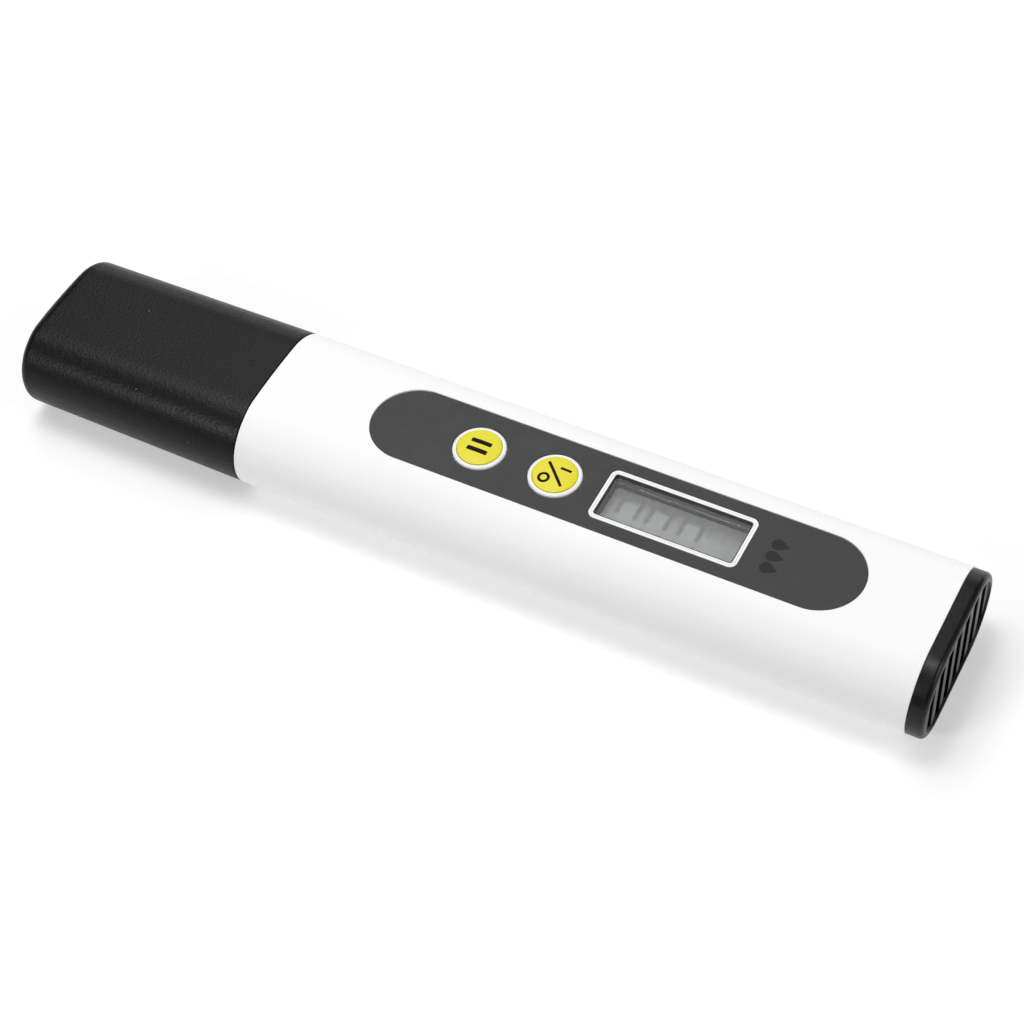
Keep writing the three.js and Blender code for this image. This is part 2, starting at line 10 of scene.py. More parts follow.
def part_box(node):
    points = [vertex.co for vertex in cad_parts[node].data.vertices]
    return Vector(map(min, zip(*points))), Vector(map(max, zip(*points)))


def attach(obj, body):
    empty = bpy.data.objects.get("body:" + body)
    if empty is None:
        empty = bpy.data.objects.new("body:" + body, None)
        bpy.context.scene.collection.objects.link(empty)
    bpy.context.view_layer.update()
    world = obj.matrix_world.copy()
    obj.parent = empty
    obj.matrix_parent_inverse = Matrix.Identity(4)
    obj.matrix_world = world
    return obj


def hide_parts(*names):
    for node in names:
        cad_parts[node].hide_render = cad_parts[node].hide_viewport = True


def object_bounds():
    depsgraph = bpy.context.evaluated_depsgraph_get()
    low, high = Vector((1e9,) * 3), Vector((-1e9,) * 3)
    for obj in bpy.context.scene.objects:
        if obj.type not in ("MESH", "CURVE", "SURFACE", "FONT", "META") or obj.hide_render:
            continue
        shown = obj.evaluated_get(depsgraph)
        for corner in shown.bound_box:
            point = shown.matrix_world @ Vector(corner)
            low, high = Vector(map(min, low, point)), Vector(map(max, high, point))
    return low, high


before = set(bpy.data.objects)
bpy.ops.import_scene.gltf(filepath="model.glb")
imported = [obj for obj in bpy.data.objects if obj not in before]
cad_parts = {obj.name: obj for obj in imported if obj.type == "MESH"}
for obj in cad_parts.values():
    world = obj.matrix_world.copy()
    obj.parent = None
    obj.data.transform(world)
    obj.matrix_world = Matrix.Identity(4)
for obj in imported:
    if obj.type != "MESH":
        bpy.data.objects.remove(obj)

pi = math.pi
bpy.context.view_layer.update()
LO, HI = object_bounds()

# ------------------------------------------------------------------ sizes, in millimetres, read from the frame
def mmbox(node):
    a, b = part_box(node)
    return [c * 1000 for c in a], [c * 1000 for c in b]

H0, H1 = mmbox("main_housing")
THICK = H1[2] - H0[2]
HALF_W = (H1[1] - H0[1]) / 2
R = THICK / 2
FLAT = HALF_W - R
ZM = THICK / 2
XB0, XB1 = H0[0], H1[0]
C0, C1 = mmbox("protective_cap")
XTIP, XMOUTH = C0[0], C1[0]
E0, E1 = mmbox("end_cap")
XEND = E1[0]
L0, L1 = mmbox("label_overlay")
ZL = L1[2]
LABEL_R = (L1[1] - L0[1]) / 2
LX0, LX1 = L0[0] + LABEL_R, L1[0] - LABEL_R
K1a, K1b = mmbox("hold_key_disc")
K2a, K2b = mmbox("power_key_disc")
XK = {"hold": (K1a[0] + K1b[0]) / 2, "power": (K2a[0] + K2b[0]) / 2}
DISC_R = 3.4
KEY_R = 4.05
W0, W1 = mmbox("window_lens")
XW = (W0[0] + W1[0]) / 2
P0, P1 = mmbox("lcd_panel")
ZLCD = P1[2]
BHX, BHY, BR, BY = 11.72, 4.855, 1.25, 0.085

# ------------------------------------------------------------------ mesh helpers (everything is made in millimetres)
def link(name, me):
    o = bpy.data.objects.new(name, me)
    bpy.context.scene.collection.objects.link(o)
    return o


def make(name, verts, faces):
    me = bpy.data.meshes.new(name)
    me.from_pydata([tuple(map(float, v)) for v in verts], [], faces)
    bm = bmesh.new()
    bm.from_mesh(me)
    bmesh.ops.remove_doubles(bm, verts=bm.verts, dist=1e-5)
    bmesh.ops.recalc_face_normals(bm, faces=bm.faces)
    bm.to_mesh(me)
    bm.free()
    return link(name, me)


def applied(o):
    bpy.context.view_layer.update()
    dg = bpy.context.evaluated_depsgraph_get()
    me = bpy.data.meshes.new_from_object(o.evaluated_get(dg), preserve_all_data_layers=True, depsgraph=dg)
    o.modifiers.clear()
    old = o.data
    o.data = me
    bpy.data.meshes.remove(old)
    return o


def cut(o, cutter, op="DIFFERENCE"):
    m = o.modifiers.new("cut", "BOOLEAN")
    m.solver = "EXACT"
    m.operation = op
    m.object = cutter
    applied(o)
    old = cutter.data
    bpy.data.objects.remove(cutter)
    bpy.data.meshes.remove(old)
    bm = bmesh.new()
    bm.from_mesh(o.data)
    bmesh.ops.remove_doubles(bm, verts=bm.verts, dist=2e-4)
    bmesh.ops.dissolve_degenerate(bm, edges=bm.edges, dist=1e-4)
    bm.to_mesh(o.data)
    bm.free()
    return o


def finish_mesh(o, bevel=0.0, segments=2, angle=38, sharp=34, weighted=True):
    """Rounds the edges, sets smooth shading and takes the mesh to metres."""
    if bevel:
        m = o.modifiers.new("edge", "BEVEL")
        m.width = bevel
        m.segments = segments
        m.limit_method = "ANGLE"
        m.angle_limit = math.radians(angle)
        m.use_clamp_overlap = False
        m.miter_outer = "MITER_ARC"
        applied(o)
        bm = bmesh.new()
        bm.from_mesh(o.data)
        bmesh.ops.remove_doubles(bm, verts=bm.verts, dist=2e-4)
        bmesh.ops.dissolve_degenerate(bm, edges=bm.edges, dist=1e-4)
        bm.to_mesh(o.data)
        bm.free()
    o.data.polygons.foreach_set("use_smooth", [True] * len(o.data.polygons))
    o.data.set_sharp_from_angle(angle=math.radians(sharp))
    o.data.transform(Matrix.Scale(0.001, 4))
    if weighted:
        m = o.modifiers.new("normals", "WEIGHTED_NORMAL")
        m.keep_sharp = True
        m.weight = 50
        applied(o)
    o.data.update()
    return o


def join(name, objs):
    """One object holding several closed shells."""
    bm = bmesh.new()
    for o in objs:
        bm.from_mesh(o.data)
    me = bpy.data.meshes.new(name)
    bm.to_mesh(me)
    bm.free()
    for o in objs:
        old = o.data
        bpy.data.objects.remove(o)
        bpy.data.meshes.remove(old)
    return link(name, me)


# stadium section of the sleeve, in (y, z), counter-clockwise seen from +X
def sec(off, n=48, nf=16):
    r = R - off
    p = []
    for i in range(n + 1):
        a = -pi / 2 + pi * i / n
        p.append((FLAT + r * math.cos(a), ZM + r * math.sin(a)))
    for k in range(1, nf):
        p.append((FLAT - 2 * FLAT * k / nf, ZM + r))
    for i in range(n + 1):
        a = pi / 2 + pi * i / n
        p.append((-FLAT + r * math.cos(a), ZM + r * math.sin(a)))
    for k in range(1, nf):
        p.append((-FLAT + 2 * FLAT * k / nf, ZM - r))
    return p


def mirror_index(n=48, nf=16):
    m = []
    for i in range(n + 1):
        m.append(n - i)
    for k in range(1, nf):
        m.append(2 * (n + 1) + (nf - 1) + (nf - k) - 1)
    for i in range(n + 1):
        m.append(n + 1 + nf - 1 + (n - i))
    for k in range(1, nf):
        m.append(n + 1 + (nf - k) - 1)
    return m


def ring(x, off, crown=0.0, n=48, nf=16, bow=0.0):
    # crown: the end face domes along X. bow: the edge curves towards -X over the upper flat
    return [(x - crown * (1 - (y / HALF_W) ** 2) - bow * max(0.0, 1 - (y / 9.5) ** 2) * min(1.0, max(0.0, (z - ZM) / 4.0)), y, z) for y, z in sec(off, n, nf)]


def skin(name, rings, close="ends", n=48, nf=16):
    """Joins rings into a surface. close: ends, loop or none."""
    m = len(rings[0])
    verts = [p for r in rings for p in r]
    faces = []
    count = len(rings)
    last = count if close == "loop" else count - 1
    for k in range(last):
        k2 = (k + 1) % count
        for i in range(m):
            j = (i + 1) % m
            faces.append((k * m + i, k * m + j, k2 * m + j, k2 * m + i))
    if close == "ends":
        mi = mirror_index(n, nf)
        for base in (0, (count - 1) * m):
            seen = set()
            for i in range(m):
                j = (i + 1) % m
                q = (i, j, mi[j], mi[i])
                key = frozenset(q)
                if len(key) < 3 or key in seen:
                    continue
                seen.add(key)
                q = [base + v for v in dict.fromkeys(q)]
                faces.append(tuple(q))
    return make(name, verts, faces)


def rrect(hx, hy, r, n=10, cx=0.0, cy=0.0):
    r = max(min(r, hx - 1e-3, hy - 1e-3), 0.02)
    p = []
    for qx, qy, a0 in ((1, -1, -pi / 2), (1, 1, 0), (-1, 1, pi / 2), (-1, -1, pi)):
        for i in range(n + 1):
            a = a0 + pi / 2 * i / n
            p.append((cx + qx * (hx - r) + r * math.cos(a), cy + qy * (hy - r) + r * math.sin(a)))
    return p


def oval(x0, x1, r, n=56, nf=24):
    p = []
    for i in range(n + 1):
        a = -pi / 2 + pi * i / n
        p.append((x1 + r * math.cos(a), r * math.sin(a)))
    for k in range(1, nf):
        p.append((x1 + (x0 - x1) * k / nf, r))
    for i in range(n + 1):
        a = pi / 2 + pi * i / n
        p.append((x0 + r * math.cos(a), r * math.sin(a)))
    for k in range(1, nf):
        p.append((x0 + (x1 - x0) * k / nf, -r))
    return p


def circle(cx, cy, r, n=72):
    return [(cx + r * math.cos(2 * pi * i / n), cy + r * math.sin(2 * pi * i / n)) for i in range(n)]


def prism(name, outline, z0, z1):
    m = len(outline)
    verts = [(x, y, z0) for x, y in outline] + [(x, y, z1) for x, y in outline]
    faces = [(i, (i + 1) % m, m + (i + 1) % m, m + i) for i in range(m)]
    faces += [tuple(range(m))[::-1], tuple(range(m, 2 * m))]
    return make(name, verts, faces)


def prism_x(name, outline, x0, x1):
    m = len(outline)
    verts = [(x0, y, z) for y, z in outline] + [(x1, y, z) for y, z in outline]
    faces = [(i, (i + 1) % m, m + (i + 1) % m, m + i) for i in range(m)]
    faces += [tuple(range(m))[::-1], tuple(range(m, 2 * m))]
    return make(name, verts, faces)


def block(name, x0, x1, y0, y1, z0, z1):
    return prism(name, [(x0, y0), (x1, y0), (x1, y1), (x0, y1)], z0, z1)


def plate(name, loops, z0, z1, bev=0.05, seg=3, bottom=True):
    """A flat plate with holes and rounded upper edges. Each loop is a function of the distance into the material."""
    verts, faces = [], []
    tops, bots = [], []
    steps = [(0.0, z0 + (bev if bottom else 0.0)), (0.0, z1 - bev)]
    steps += [(bev * (1 - math.cos(a)), z1 - bev + bev * math.sin(a)) for a in [pi / 2 * i / seg for i in range(1, seg + 1)]]
    if bottom:
        steps = [(bev * (1 - math.cos(a)), z0 + bev - bev * math.sin(a)) for a in [pi / 2 * i / seg for i in range(seg, 0, -1)]] + steps
    for f in loops:
        first = len(verts)
        m = len(f(0))
        for d, z in steps:
            verts += [(x, y, z) for x, y in f(d)]
        for k in range(len(steps) - 1):
            for i in range(m):
                j = (i + 1) % m
                faces.append((first + k * m + i, first + k * m + j, first + (k + 1) * m + j, first + (k + 1) * m + i))
        bots.append(list(range(first, first + m)))
        tops.append(list(range(first + (len(steps) - 1) * m, first + len(steps) * m)))
    for group, z in ((bots, z0), (tops, z1)):
        flat = [i for g in group for i in g]
        tri = tessellate_polygon([[Vector((verts[i][0], verts[i][1], 0)) for i in g] for g in group])
        faces += [tuple(flat[i] for i in t) for t in tri]
    return make(name, verts, faces)


def turned(name, profile, n=96, axis="z", at=(0, 0, 0)):
    """A solid of revolution; the profile is (radius, height) from axis to axis."""
    verts, faces, idx = [], [], []
    for r, h in profile:
        if r < 1e-6:
            idx.append([len(verts)])
            verts.append((0, 0, h))
        else:
            idx.append(list(range(len(verts), len(verts) + n)))
            verts += [(r * math.cos(2 * pi * i / n), r * math.sin(2 * pi * i / n), h) for i in range(n)]
    for a, b in zip(idx, idx[1:]):
        for i in range(n):
            j = (i + 1) % n
            if len(a) == 1 and len(b) > 1:
                faces.append((a[0], b[i], b[j]))
            elif len(b) == 1 and len(a) > 1:
                faces.append((a[i], a[j], b[0]))
            elif len(a) > 1:
                faces.append((a[i], a[j], b[j], b[i]))
    if axis == "x":
        verts = [(h, x, y) for x, y, h in verts]
    verts = [(x + at[0], y + at[1], z + at[2]) for x, y, z in verts]
    return make(name, verts, faces)


def arc(cx, cz, r, a0, a1, n):
    return [(cx + r * math.cos(math.radians(a0 + (a1 - a0) * i / n)), cz + r * math.sin(math.radians(a0 + (a1 - a0) * i / n))) for i in range(n + 1)]


# ------------------------------------------------------------------ materials
def nodes_of(name):
    m = bpy.data.materials.new(name)
    m.use_nodes = True
    nt = m.node_tree
    for n in list(nt.nodes):
        nt.nodes.remove(n)
    out = nt.nodes.new("ShaderNodeOutputMaterial")
    b = nt.nodes.new("ShaderNodeBsdfPrincipled")
    nt.links.new(b.outputs[0], out.inputs[0])
    return m, nt, b


def coords(nt):
    return nt.nodes.new("ShaderNodeTexCoord").outputs["Object"]


def noise(nt, vec, scale, detail=2.0, rough=0.5, dist=0.0):
    n = nt.nodes.new("ShaderNodeTexNoise")
    n.inputs["Scale"].default_value = scale
    n.inputs["Detail"].default_value = detail
    n.inputs["Roughness"].default_value = rough
    n.inputs["Distortion"].default_value = dist
    nt.links.new(vec, n.inputs["Vector"])
    return n.outputs["Fac"]


def ramp(nt, fac, stops):
    r = nt.nodes.new("ShaderNodeValToRGB")
    e = r.color_ramp.elements
    while len(e) > 1:
        e.remove(e[-1])
    e[0].position, e[0].color = stops[0][0], (*stops[0][1], 1)
    for p, c in stops[1:]:
        k = e.new(p)
        k.color = (*c, 1)
    nt.links.new(fac, r.inputs[0])
    return r.outputs["Color"]


def remap(nt, fac, a, b, lo=0.3, hi=0.7):
    m = nt.nodes.new("ShaderNodeMapRange")
    m.inputs["From Min"].default_value = lo
    m.inputs["From Max"].default_value = hi
    m.inputs["To Min"].default_value = a
    m.inputs["To Max"].default_value = b
    nt.links.new(fac, m.inputs["Value"])
    return m.outputs["Result"]


def math_node(nt, op, a, b=None, c=None, clamp=False):
    m = nt.nodes.new("ShaderNodeMath")
    m.operation = op
    m.use_clamp = clamp
    for i, v in enumerate((a, b, c)):
        if v is None:
            continue
        if isinstance(v, (int, float)):
            m.inputs[i].default_value = v
        else:
            nt.links.new(v, m.inputs[i])
    return m.outputs[0]


def mixc(nt, fac, a, b, mode="MIX"):
    m = nt.nodes.new("ShaderNodeMix")
    m.data_type = "RGBA"
    m.blend_type = mode
    for sock, v in ((m.inputs[0], fac), (m.inputs[6], a), (m.inputs[7], b)):
        if isinstance(v, (int, float)):
            sock.default_value = v
        elif isinstance(v, (tuple, list)):
            sock.default_value = (*v, 1)
        else:
            nt.links.new(v, sock)
    return m.outputs[2]


def bump(nt, b, heights):
    """heights: (socket, strength, distance in metres), chained."""
    prev = None
    for h, strength, dist in heights:
        n = nt.nodes.new("ShaderNodeBump")
        n.inputs["Strength"].default_value = strength
        n.inputs["Distance"].default_value = dist
        nt.links.new(h, n.inputs["Height"])
        if prev:
            nt.links.new(prev, n.inputs["Normal"])
        prev = n.outputs["Normal"]
    nt.links.new(prev, b.inputs["Normal"])


def plastic(name, color, vary=0.02, rough=0.4, rough_vary=0.06, grain=6000, grain_bump=0.15, grain_depth=6e-6,
            peel=500, peel_bump=0.08, peel_depth=1e-5, spec=0.5, coat=0.0):
    m, nt, b = nodes_of(name)
    v = coords(nt)
    big = noise(nt, v, 60, 3)
    fine = noise(nt, v, grain, 2, 0.6)
    dark = tuple(c * (1 - vary) for c in color)
    light = tuple(min(c * (1 + vary), 1.0) for c in color)
    nt.links.new(ramp(nt, big, [(0.3, dark), (0.7, light)]), b.inputs["Base Color"])
    nt.links.new(remap(nt, noise(nt, v, 220, 3), rough - rough_vary, rough + rough_vary), b.inputs["Roughness"])
    b.inputs["Specular IOR Level"].default_value = spec
    b.inputs["Coat Weight"].default_value = coat
    b.inputs["Coat Roughness"].default_value = 0.15
    bump(nt, b, [(noise(nt, v, peel, 2), peel_bump, peel_depth), (fine, grain_bump, grain_depth)])
    return m


def white_plastic():
    m, nt, b = nodes_of("white_satin")
    v = coords(nt)
    big = noise(nt, v, 45, 3)
    nt.links.new(ramp(nt, big, [(0.3, (0.868, 0.870, 0.866)), (0.7, (0.888, 0.889, 0.885))]), b.inputs["Base Color"])
    nt.links.new(remap(nt, noise(nt, v, 180, 4), 0.46, 0.56), b.inputs["Roughness"])
    b.inputs["Specular IOR Level"].default_value = 0.22
    b.inputs["Subsurface Weight"].default_value = 0.06
    b.inputs["Subsurface Scale"].default_value = 0.001
    b.inputs["Subsurface Radius"].default_value = (1.0, 0.9, 0.8)
    bump(nt, b, [(noise(nt, v, 420, 2), 0.06, 1.2e-5), (noise(nt, v, 7000, 2, 0.6), 0.10, 4e-6)])
    return m


def black_textured(name="black_textured", base=0.0050, specks=True, level=0.165, rough=(0.33, 0.42), depth=1.0):
    m, nt, b = nodes_of(name)
    v = coords(nt)
    # spark-eroded mould texture: a fine, rounded grain over a slower mottle
    vor = nt.nodes.new("ShaderNodeTexVoronoi")
    vor.feature = "SMOOTH_F1"
    vor.inputs["Scale"].default_value = 2300
    vor.inputs["Smoothness"].default_value = 0.6
    nt.links.new(v, vor.inputs["Vector"])
    grain = noise(nt, v, 3800, 3, 0.65)
    mottle = noise(nt, v, 900, 4, 0.6)
    col = ramp(nt, mottle, [(0.3, (base * 0.86,) * 3), (0.7, (base * 1.16, base * 1.16, base * 1.18))])
    if specks:
        # a few fine specks of dust
        sp = nt.nodes.new("ShaderNodeTexVoronoi")
        sp.feature = "F1"
        sp.inputs["Scale"].default_value = 300
        nt.links.new(v, sp.inputs["Vector"])
        near = math_node(nt, "LESS_THAN", sp.outputs["Distance"], 0.045)
        sep = nt.nodes.new("ShaderNodeSeparateColor")
        nt.links.new(sp.outputs["Color"], sep.inputs[0])
        rare = math_node(nt, "GREATER_THAN", sep.outputs[0], 0.72)
        dust = math_node(nt, "MULTIPLY", near, rare)
        col = mixc(nt, math_node(nt, "MULTIPLY", dust, 0.45), col, (0.22, 0.22, 0.21))
    nt.links.new(col, b.inputs["Base Color"])
    nt.links.new(remap(nt, mottle, *rough), b.inputs["Roughness"])
    b.inputs["Specular IOR Level"].default_value = level
    bump(nt, b, [(vor.outputs["Distance"], 0.68 * depth, 4.5e-5), (grain, 0.35 * depth, 2.4e-5)])
    return m


def overlay_film():
    m, nt, b = nodes_of("overlay_film")
    v = coords(nt)
    mottle = noise(nt, v, 1500, 3, 0.6)
    col = ramp(nt, mottle, [(0.3, (0.0430, 0.0430, 0.0450)), (0.7, (0.0480, 0.0480, 0.0500))])
    nt.links.new(col, b.inputs["Base Color"])
    nt.links.new(remap(nt, noise(nt, v, 300, 3), 0.46, 0.58), b.inputs["Roughness"])
    b.inputs["Specular IOR Level"].default_value = 0.2
    bump(nt, b, [(noise(nt, v, 5200, 3, 0.6), 0.22, 7e-6)])
    return m


def metal(name, color, rough=0.25, brushed=None, scale=1800):
    m, nt, b = nodes_of(name)
    v = coords(nt)
    if brushed:
        mp = nt.nodes.new("ShaderNodeMapping")
        mp.inputs["Scale"].default_value = brushed
        nt.links.new(v, mp.inputs["Vector"])
        v2 = mp.outputs[0]
    else:
        v2 = v
    n1 = noise(nt, v2, scale, 4, 0.6)
    dark = tuple(c * 0.9 for c in color)
    nt.links.new(ramp(nt, n1, [(0.3, dark), (0.7, color)]), b.inputs["Base Color"])
    b.inputs["Metallic"].default_value = 1.0
    nt.links.new(remap(nt, n1, rough * 0.75, rough * 1.3), b.inputs["Roughness"])
    bump(nt, b, [(n1, 0.12, 3e-6)])
    return m


def lens_material():
    m, nt, b = nodes_of("clear_acrylic")
    v = coords(nt)
    b.inputs["Base Color"].default_value = (0.94, 0.96, 0.96, 1)
    b.inputs["Metallic"].default_value = 1.0
    b.inputs["Alpha"].default_value = 0.035
    nt.links.new(remap(nt, noise(nt, v, 600, 2), 0.04, 0.08), b.inputs["Roughness"])
    m.surface_render_method = "BLENDED"
    return m


def lcd_material():
    """Grey-green display with the faint marks of its unlit digits, and painted shade and reflection that make it darker
    towards its far side and left end.
    """
    m, nt, b = nodes_of("lcd_face")
    v = coords(nt)
    sep = nt.nodes.new("ShaderNodeSeparateXYZ")
    nt.links.new(v, sep.inputs[0])
    x = math_node(nt, "MULTIPLY", math_node(nt, "SUBTRACT", sep.outputs[0], XW * 0.001), 1000.0)   # mm from the centre
    y = math_node(nt, "MULTIPLY", sep.outputs[1], 1000.0)

    def band(value, centre, half, soft):
        d = math_node(nt, "ABSOLUTE", math_node(nt, "SUBTRACT", value, centre))
        r = nt.nodes.new("ShaderNodeMapRange")
        r.interpolation_type = "SMOOTHSTEP"
        r.inputs["From Min"].default_value = half - soft
        r.inputs["From Max"].default_value = half + soft
        r.inputs["To Min"].default_value = 1.0
        r.inputs["To Max"].default_value = 0.0
        nt.links.new(d, r.inputs["Value"])
        return r.outputs["Result"]

    # three large digits, each with two uprights and a top bar, standing along +Y
    ly = y
    marks = None
    inner = None
    for centre in (-7.35, -2.60, 2.50):
        local = math_node(nt, "SUBTRACT", x, centre)
        side = math_node(nt, "MULTIPLY", band(math_node(nt, "ABSOLUTE", local), 1.50, 0.33, 0.30), band(ly, 0.95, 1.75, 0.50))
        top = math_node(nt, "MULTIPLY", band(local, 0.0, 1.25, 0.4), band(ly, 2.45, 0.40, 0.45))
        foot = math_node(nt, "MULTIPLY", band(math_node(nt, "ABSOLUTE", local), 1.50, 0.22, 0.24), band(ly, -2.3, 0.65, 0.35))
        one = math_node(nt, "MAXIMUM", math_node(nt, "MULTIPLY", top, 0.55), math_node(nt, "MAXIMUM", side, math_node(nt, "MULTIPLY", foot, 0.75)))
        patch = math_node(nt, "MULTIPLY", band(local, 0.0, 1.05, 0.30), band(ly, 0.1, 1.75, 0.6))
        marks = one if marks is None else math_node(nt, "MAXIMUM", marks, one)
        inner = patch if inner is None else math_node(nt, "MAXIMUM", inner, patch)
    # small unit marks at the right end
    for cx in (5.25, 6.15, 7.4):
        unit = math_node(nt, "MULTIPLY", band(x, cx, 0.22, 0.30), band(y, 1.25, 0.75, 0.4))
        marks = math_node(nt, "MAXIMUM", marks, math_node(nt, "MULTIPLY", unit, 0.45))
    # stray bright area under the unit marks
    low = math_node(nt, "MULTIPLY", band(x, 7.6, 2.9, 0.6), band(y, -0.9, 1.1, 0.7))
    inner = math_node(nt, "MAXIMUM", inner, math_node(nt, "MULTIPLY", low, 0.9))

    # painted shade and reflection: the pane is darker towards its far side and lighter towards the near side, standing
    # in for the well wall's shadow and the window's reflections
    painted_far_shade = nt.nodes.new("ShaderNodeMapRange")
    painted_far_shade.interpolation_type = "SMOOTHSTEP"
    painted_far_shade.inputs["From Min"].default_value = 3.6
    painted_far_shade.inputs["From Max"].default_value = -1.4
    nt.links.new(y, painted_far_shade.inputs["Value"])
    mott = noise(nt, v, 1600, 3, 0.6)
    base = mixc(nt, painted_far_shade.outputs["Result"], (0.088, 0.089, 0.088), (0.238, 0.240, 0.236))
    # painted shade: the pane is darker towards its left end
    left = nt.nodes.new("ShaderNodeMapRange")
    left.interpolation_type = "SMOOTHSTEP"
    left.inputs["From Min"].default_value = -9.0
    left.inputs["From Max"].default_value = -11.2
    nt.links.new(x, left.inputs["Value"])
    base = mixc(nt, math_node(nt, "MULTIPLY", left.outputs["Result"], 0.5), base, (0.115, 0.117, 0.116))
    base = mixc(nt, math_node(nt, "MULTIPLY", inner, 0.55), base, (0.225, 0.262, 0.260))
    base = mixc(nt, math_node(nt, "MULTIPLY", marks, 0.80), base, (0.055, 0.052, 0.052))
    base = mixc(nt, remap(nt, mott, 0.0, 0.10), base, (0.10, 0.10, 0.10))
    nt.links.new(base, b.inputs["Base Color"])
    nt.links.new(remap(nt, noise(nt, v, 900, 2), 0.22, 0.32), b.inputs["Roughness"])
    b.inputs["Specular IOR Level"].default_value = 0.15
    return m


def board_material():
    m, nt, b = nodes_of("board_mask")
    v = coords(nt)
    br = nt.nodes.new("ShaderNodeTexBrick")
    br.inputs["Scale"].default_value = 420
    br.inputs["Mortar Size"].default_value = 0.06
    br.inputs["Color1"].default_value = (0.010, 0.105, 0.040, 1)
    br.inputs["Color2"].default_value = (0.012, 0.120, 0.048, 1)
    br.inputs["Mortar"].default_value = (0.030, 0.210, 0.085, 1)
    nt.links.new(v, br.inputs["Vector"])
    nt.links.new(br.outputs["Color"], b.inputs["Base Color"])
    nt.links.new(remap(nt, noise(nt, v, 500, 3), 0.28, 0.42), b.inputs["Roughness"])
    bump(nt, b, [(br.outputs["Fac"], 0.4, 2e-5)])
    return m


M = {
    "white": white_plastic(),
    "black": black_textured(),
    "black_end": black_textured("black_textured_end", 0.0055, False, 0.24, (0.30, 0.38), 0.35),
    "film": overlay_film(),
    "key_white": plastic("key_white", (0.865, 0.862, 0.868), 0.008, 0.38, 0.05, spec=0.3),
    "key_yellow": plastic("key_yellow", (0.735, 0.655, 0.016), 0.035, 0.34, 0.06, grain=5200, grain_bump=0.12, spec=0.34),
    "ink": plastic("key_ink", (0.0065, 0.0045, 0.0025), 0.05, 0.55, 0.05, spec=0.08),
    "ink_grey": plastic("overlay_ink", (0.0235, 0.0235, 0.0245), 0.04, 0.55, 0.05, spec=0.14),
    "dark": plastic("dark_moulding", (0.052, 0.053, 0.055), 0.05, 0.5, 0.06, grain=4500, grain_bump=0.2),
    "head": plastic("head_moulding", (0.0105, 0.0105, 0.0108), 0.06, 0.42, 0.05, grain=5200, grain_bump=0.25, spec=0.3),
    "tray": plastic("tray_moulding", (0.58, 0.59, 0.60), 0.012, 0.48, 0.05, grain=5200, grain_bump=0.2),
    "rubber": plastic("soft_rubber", (0.022, 0.022, 0.022), 0.08, 0.72, 0.05, grain=3500, grain_bump=0.25),
    "chip": plastic("epoxy_black", (0.016, 0.016, 0.017), 0.08, 0.5, 0.08, grain=6000, grain_bump=0.2),
    "lead_red": plastic("lead_red", (0.42, 0.020, 0.015), 0.04, 0.45, 0.05),
    "lead_black": plastic("lead_black", (0.018, 0.018, 0.018), 0.04, 0.45, 0.05),
    "lens": lens_material(),
    "lcd": lcd_material(),
    "board": board_material(),
    "pin": metal("electrode_steel", (0.62, 0.62, 0.63), 0.18, (12, 1, 1), 900),
    "steel": metal("plated_steel", (0.60, 0.60, 0.61), 0.28),
    "cell": metal("cell_nickel", (0.66, 0.66, 0.66), 0.22, (1, 1, 14), 700),
    "brass": metal("contact_plate", (0.78, 0.62, 0.30), 0.25),
    "foil": metal("reflector", (0.74, 0.75, 0.76), 0.35),
    "gasket": plastic("cell_gasket", (0.05, 0.05, 0.055), 0.05, 0.5, 0.05),
}


def dress(o, *mats):
    o.data.materials.clear()
    for k in mats:
        o.data.materials.append(M[k])
    return o


def piece(o, body, stands_for=None, mats=()):
    if mats:
        dress(o, *mats)
    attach(o, body)
    if stands_for:
        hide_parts(*([stands_for] if isinstance(stands_for, str) else stands_for))
    return o


